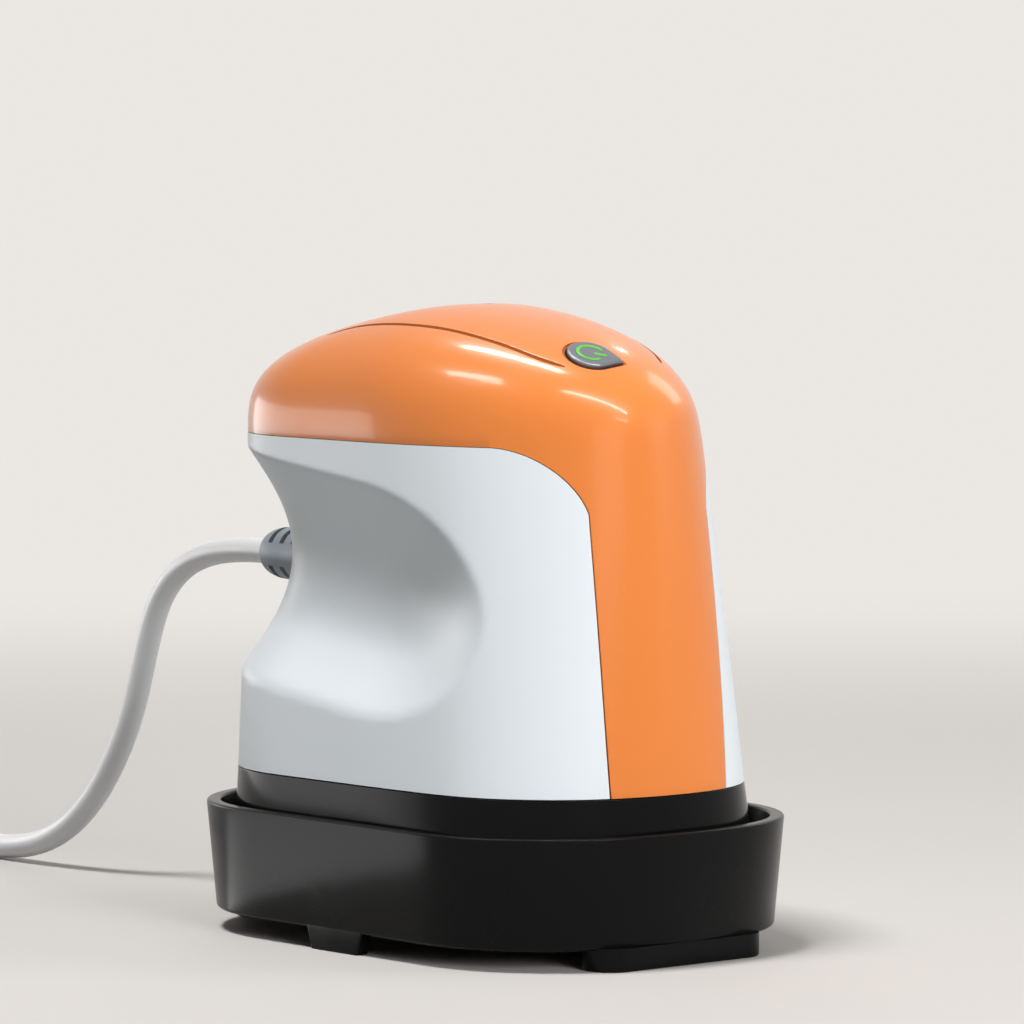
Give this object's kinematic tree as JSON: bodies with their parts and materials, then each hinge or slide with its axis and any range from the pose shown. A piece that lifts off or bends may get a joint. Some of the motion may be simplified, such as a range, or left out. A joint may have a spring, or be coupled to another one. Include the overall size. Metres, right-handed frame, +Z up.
{
  "type": "mini heat press",
  "caption": "Hand-held mini heat press with a glossy orange top, pale grip housing and black skirt, parked in its black heat-safe tray, with a corded plug",
  "frame": {"origin": "middle of the tray on the surface it stands on", "axes": "+Z up, -Y front of the press with the power button, +Y rear with the mains lead, +X right side seen from the rear"},
  "size_m": [0.1416, 0.339, 0.1346],
  "materials": {
    "tray_black": "satin moulded plastic",
    "pad_rubber": "soft silicone",
    "plate_coated": "dark non-stick coat",
    "steel": "plain",
    "felt": "woven mineral fibre",
    "gloss_black": "glossy",
    "housing_white": "satin moulded plastic",
    "cover_orange": "glossy",
    "button_silver": "metallic coat",
    "light_green": "lit",
    "board": "coated laminate",
    "black_plastic": "moulded plastic",
    "transformer_yellow": "taped winding",
    "capacitor_blue": "sleeved can",
    "terminal_green": "moulded plastic",
    "sensor_glass": "sealed bead",
    "gland_grey": "soft moulding",
    "cord_white": "satin jacket",
    "tie_white": "moulded strap",
    "lead_red": "silicone sleeve",
    "lead_yellow": "sleeve",
    "lead_dark": "sleeve",
    "pin_nickel": "nickel plate"
  },
  "bodies": {
    "base": {"base_tray": "tray_black", "tray_pads": "pad_rubber", "cord": "cord_white", "cord_coil": "cord_white", "cord_tie": "tie_white", "plug_body": "cord_white", "plug_pins": "pin_nickel"},
    "press": {"heating_plate": "plate_coated", "heating_element": "steel", "insulation_felt": "felt", "clamp_plate": "steel", "plate_screws": "steel", "skirt": "gloss_black", "skirt_screws": "steel", "heat_shield": "felt", "housing": "housing_white", "housing_screws": "steel", "top_cover": "cover_orange", "button_board": "board", "tact_switch": "black_plastic", "button_board_screws": "steel", "control_board": "board", "board_transformer": "transformer_yellow", "board_capacitor": "capacitor_blue", "board_triac": "black_plastic", "board_terminal": "terminal_green", "thermistor": "sensor_glass", "thermal_fuse": "steel", "cord_gland": "gland_grey", "cord_clamp": "black_plastic", "cord_clamp_screws": "steel", "mains_leads": "cord_white", "heater_leads": "lead_red", "sensor_leads": "lead_yellow", "button_leads": "lead_dark"},
    "button": {"power_button": "button_silver", "button_light": "light_green"}
  },
  "joints": [
    {"name": "lift", "type": "slide", "parent": "base", "child": "press", "axis": [0, 0, 1], "range_m": [0, 0.0514]},
    {"name": "button_press", "type": "slide", "parent": "press", "child": "button", "axis": [0.1313, 0.4384, -0.8891], "range_m": [0, 0.0008], "stiffness_N_per_m": 800}
  ]
}
